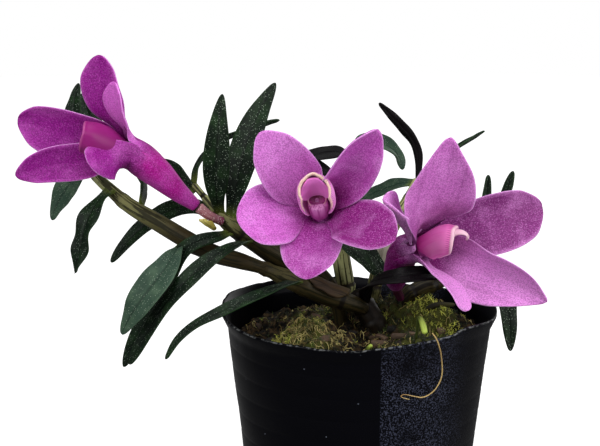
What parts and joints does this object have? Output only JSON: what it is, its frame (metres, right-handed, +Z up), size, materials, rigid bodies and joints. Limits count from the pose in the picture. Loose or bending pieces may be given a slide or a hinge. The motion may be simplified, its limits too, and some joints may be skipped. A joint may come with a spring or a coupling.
{
  "type": "dendrobium orchid in a nursery pot",
  "caption": "Miniature dendrobium orchid in flower, with leafy canes leaning out over the rim of a soft black plastic nursery pot filled with moss and bark.",
  "frame": {"origin": "middle of the pot's underside, the face it stands on", "axes": "+Z up through the pot; the open flowers look towards -Y; the long cane leans out towards -X"},
  "size_m": [0.14, 0.0776, 0.1393],
  "materials": {
    "pot": "thin soft black plastic, faint ribs",
    "medium": "moss over crumbled bark",
    "cane": "fleshy green cane with dark lengthwise streaks",
    "old_cane": "older cane in brown papery skin",
    "leaf": "leathery, very dark green with pale speckles",
    "tepal": "soft glistening orchid pink-violet",
    "lip": "pink with a cream margin",
    "column": "deep magenta with a white anther cap",
    "pedicel": "thin purplish flower stalk",
    "sheath": "dry papery sheath",
    "root": "fresh green root tip",
    "root_thread": "thin dry tan root"
  },
  "bodies": {
    "root": {"bark_and_moss": "medium", "bloom_front_column": "column", "bloom_front_lip": "lip", "bloom_front_pedicel": "pedicel", "bloom_front_tepals": "tepal", "bloom_left_column": "column", "bloom_left_lip": "lip", "bloom_left_pedicel": "pedicel", "bloom_left_tepals": "tepal", "bloom_right_column": "column", "bloom_right_lip": "lip", "bloom_right_pedicel": "pedicel", "bloom_right_tepals": "tepal", "bract_flower": "sheath", "cane_arching": "cane", "cane_back": "cane", "cane_flowering": "cane", "cane_middle": "cane", "cane_right": "old_cane", "leaf_arching_1": "leaf", "leaf_arching_2": "leaf", "leaf_arching_3": "leaf", "leaf_arching_4": "leaf", "leaf_arching_5": "leaf", "leaf_arching_6": "leaf", "leaf_back_1": "leaf", "leaf_back_2": "leaf", "leaf_back_3": "leaf", "leaf_crown_front": "leaf", "leaf_flowering_1": "leaf", "leaf_flowering_2": "leaf", "leaf_flowering_3": "leaf", "leaf_flowering_4": "leaf", "leaf_flowering_5": "leaf", "leaf_flowering_6": "leaf", "leaf_flowering_7": "leaf", "leaf_low_front": "leaf", "leaf_middle_1": "leaf", "leaf_middle_2": "leaf", "leaf_middle_3": "leaf", "leaf_middle_4": "leaf", "leaf_middle_5": "leaf", "leaf_right_1": "leaf", "leaf_right_2": "leaf", "leaf_right_3": "leaf", "pot": "pot", "rhizome": "old_cane", "root_green": "root", "root_thread": "root_thread", "root_tip_back": "root", "root_tip_front": "root", "sheath_base": "sheath", "sheath_grey": "sheath"}
  },
  "joints": []
}
